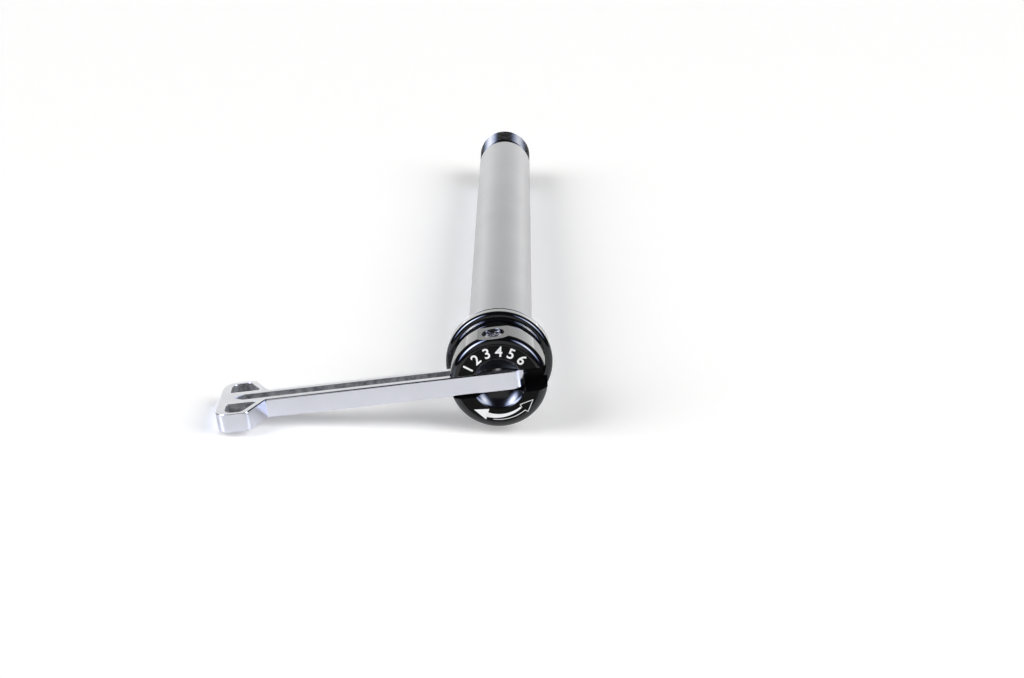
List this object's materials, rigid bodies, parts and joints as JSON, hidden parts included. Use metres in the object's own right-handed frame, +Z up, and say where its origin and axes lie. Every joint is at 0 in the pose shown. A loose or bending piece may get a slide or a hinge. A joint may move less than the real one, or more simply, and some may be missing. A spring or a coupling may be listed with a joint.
{
  "type": "bicycle thru axle",
  "caption": "Hollow bicycle thru axle with a flanged slotted head, a threaded far end and a slim lever with a T-shaped grip that folds out of the slot.",
  "frame": {"origin": "on the axle's axis at the flange's seat face", "axes": "+Y along the axle from the seat towards the threaded end, -Y towards the head's face, +Z up through the pivot side of the head; at rest the lever points to -X"},
  "size_m": [0.0747, 0.1874, 0.0242],
  "materials": {
    "tube_silver": "satin silver anodised",
    "thread_black": "gloss black anodised",
    "head_black": "gloss black anodised",
    "screw_dark": "blackened steel",
    "lever_chrome": "polished bright silver"
  },
  "bodies": {
    "axle": {"axle_tube": "tube_silver", "thread_end": "thread_black", "head": "head_black", "pivot_screw": "screw_dark"},
    "lever": {"lever": "lever_chrome"}
  },
  "joints": [
    {"name": "lever_fold", "type": "hinge", "parent": "axle", "child": "lever", "pos_m": [0, -0.0112, 0], "axis": [-0.1253, 0, 0.9921], "range_deg": [0, 180]}
  ]
}
